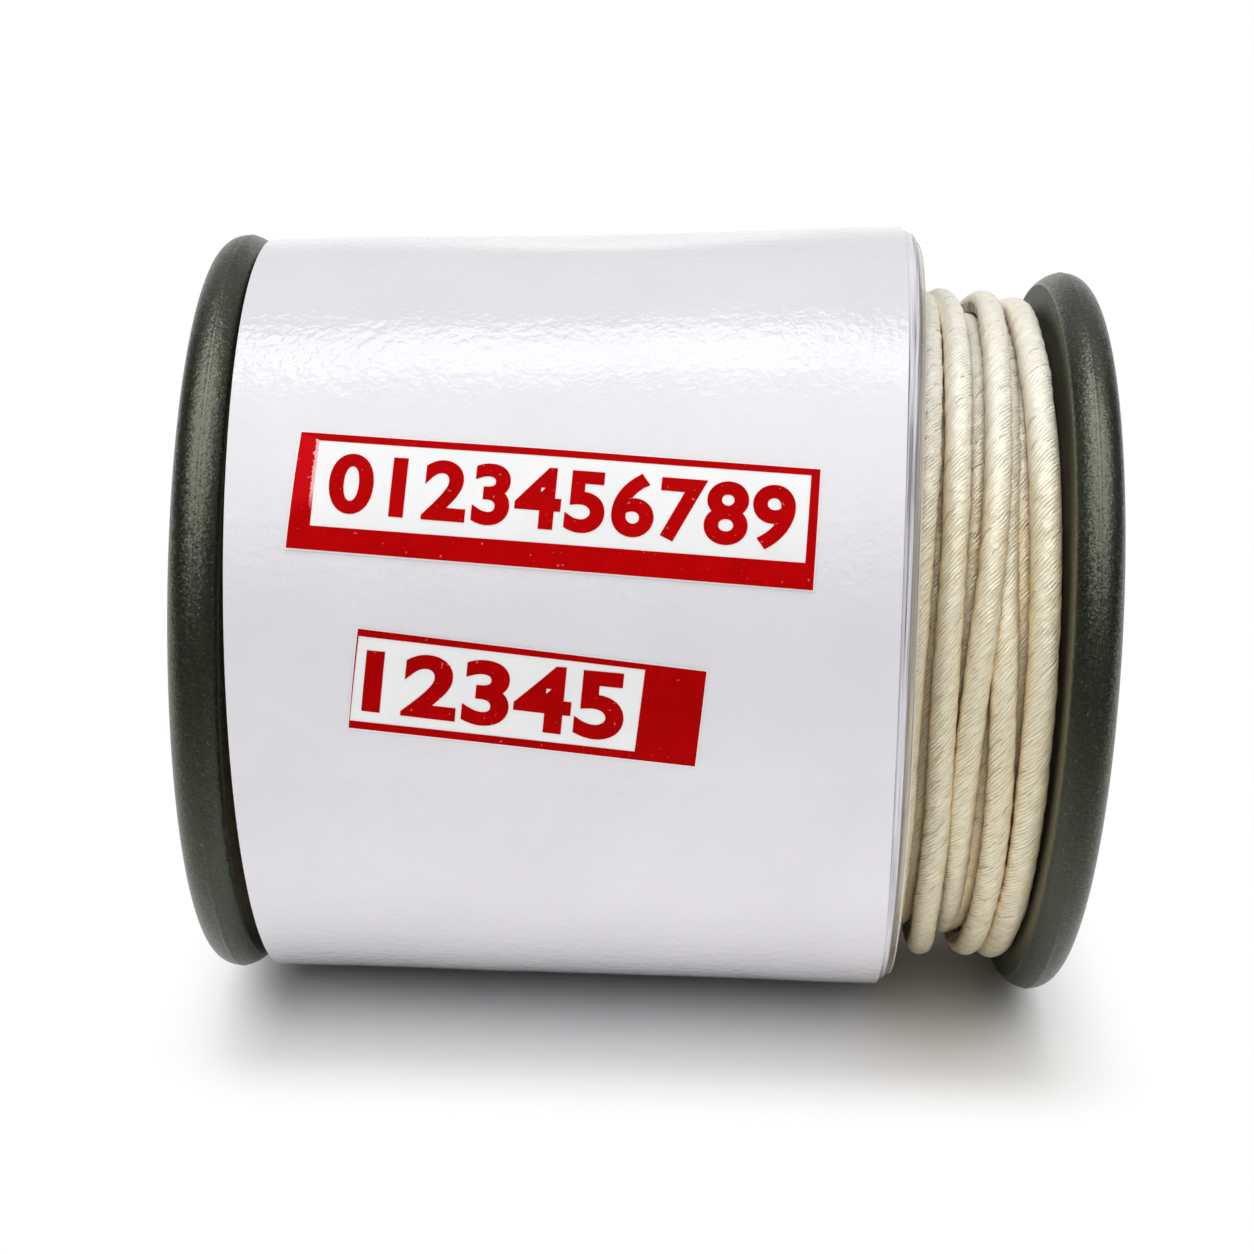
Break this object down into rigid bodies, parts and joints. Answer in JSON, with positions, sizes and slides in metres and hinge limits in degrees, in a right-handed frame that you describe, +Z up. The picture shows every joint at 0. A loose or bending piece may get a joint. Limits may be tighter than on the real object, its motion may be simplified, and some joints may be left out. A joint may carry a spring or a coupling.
{
  "type": "wire spool",
  "caption": "Small moulded spool with two rounded flanges, wound with cotton-covered copper wire under clear film and a loose paper sleeve with two printed labels.",
  "frame": {"origin": "under the middle of the spool, on the surface that the rims of its two flanges stand on", "axes": "+X along the spool, from the flange that the sleeve is tucked against to the bare end of the winding, +Y away from the side with the labels, +Z up"},
  "size_m": [0.0326, 0.0295, 0.0294],
  "materials": {
    "flange_plastic": "satin",
    "barrel_plastic": "satin",
    "wound_cotton": "matte",
    "outer_cotton": "satin",
    "inner_cotton": "matte",
    "copper": "satin",
    "clear_film": "gloss",
    "sleeve_paper": "gloss",
    "clear_tape": "gloss",
    "label_paper": "gloss",
    "red_ink": "gloss"
  },
  "bodies": {
    "spool": {"barrel": "barrel_plastic", "left_flange": "flange_plastic", "right_flange": "flange_plastic", "inner_layers": "wound_cotton", "outer_turns": "outer_cotton", "start_conductor": "copper", "start_inner_cotton": "inner_cotton", "start_outer_cotton": "outer_cotton"},
    "film": {"film_wrap": "clear_film"},
    "sleeve": {"paper_sleeve": "sleeve_paper", "seam_tape": "clear_tape", "upper_label": "label_paper", "upper_print": "red_ink", "lower_label": "label_paper", "lower_print": "red_ink"}
  },
  "joints": [
    {"name": "wrap_slide", "type": "slide", "parent": "spool", "child": "film", "axis": [1, 0, 0], "range_m": [0, 0.0043]},
    {"name": "sleeve_turn", "type": "hinge", "parent": "film", "child": "sleeve", "pos_m": [-0.01414, 0, 0.014], "axis": [0.9995, 0, 0.0328], "continuous": true}
  ]
}
